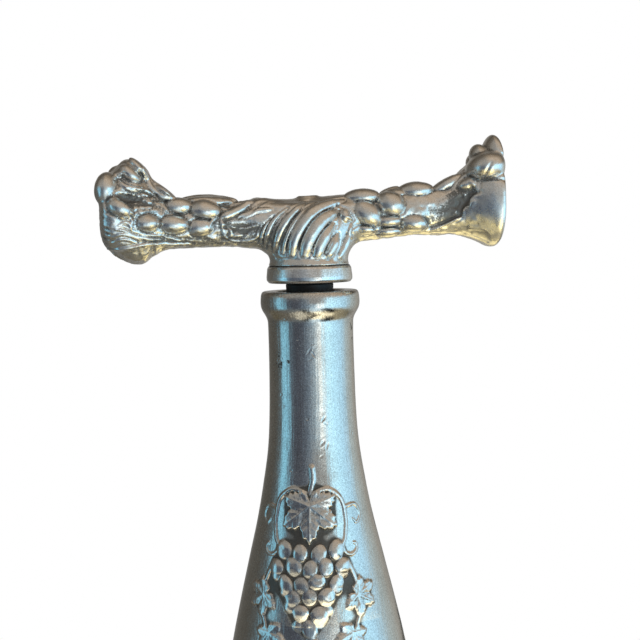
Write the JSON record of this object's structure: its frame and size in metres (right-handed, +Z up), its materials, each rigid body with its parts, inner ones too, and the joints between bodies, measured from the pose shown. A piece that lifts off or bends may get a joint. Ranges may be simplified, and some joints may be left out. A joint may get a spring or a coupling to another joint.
{
  "type": "pewter corkscrew",
  "caption": "Cast pewter T-handle corkscrew with a vine-shaped handle, a steel worm and a tapered stopper, kept in a hollow bottle-shaped pewter sheath that stands upright.",
  "frame": {"origin": "centre of the sheath's felt foot, on the surface that it stands on", "axes": "+Z up along the sheath, the worm and the pull; X along the T-bar of the handle; -Y towards the front, with the sheath's decorated side turned 16 degrees from -Y towards -X"},
  "size_m": [0.1074, 0.054, 0.2247],
  "materials": {
    "pewter": "satin",
    "plain_pewter": "satin",
    "steel": "polished",
    "black_stopper": "matte",
    "felt": "matte"
  },
  "bodies": {
    "sheath": {"bottle_front": "pewter", "bottle_back": "pewter", "mouth_bush": "plain_pewter", "base_plate": "plain_pewter", "base_felt": "felt"},
    "stopper": {"stopper": "black_stopper"},
    "corkscrew": {"vine_handle": "pewter", "hub_ferrule": "pewter", "worm": "steel", "cross_pin": "steel"}
  },
  "joints": [
    {"name": "pull_out", "type": "slide", "parent": "sheath", "child": "stopper", "axis": [0, 0, 1], "range_m": [0, 0.1]},
    {"name": "handle_turn", "type": "hinge", "parent": "stopper", "child": "corkscrew", "pos_m": [0, 0, 0.187], "axis": [0, 0, 1], "continuous": true}
  ]
}
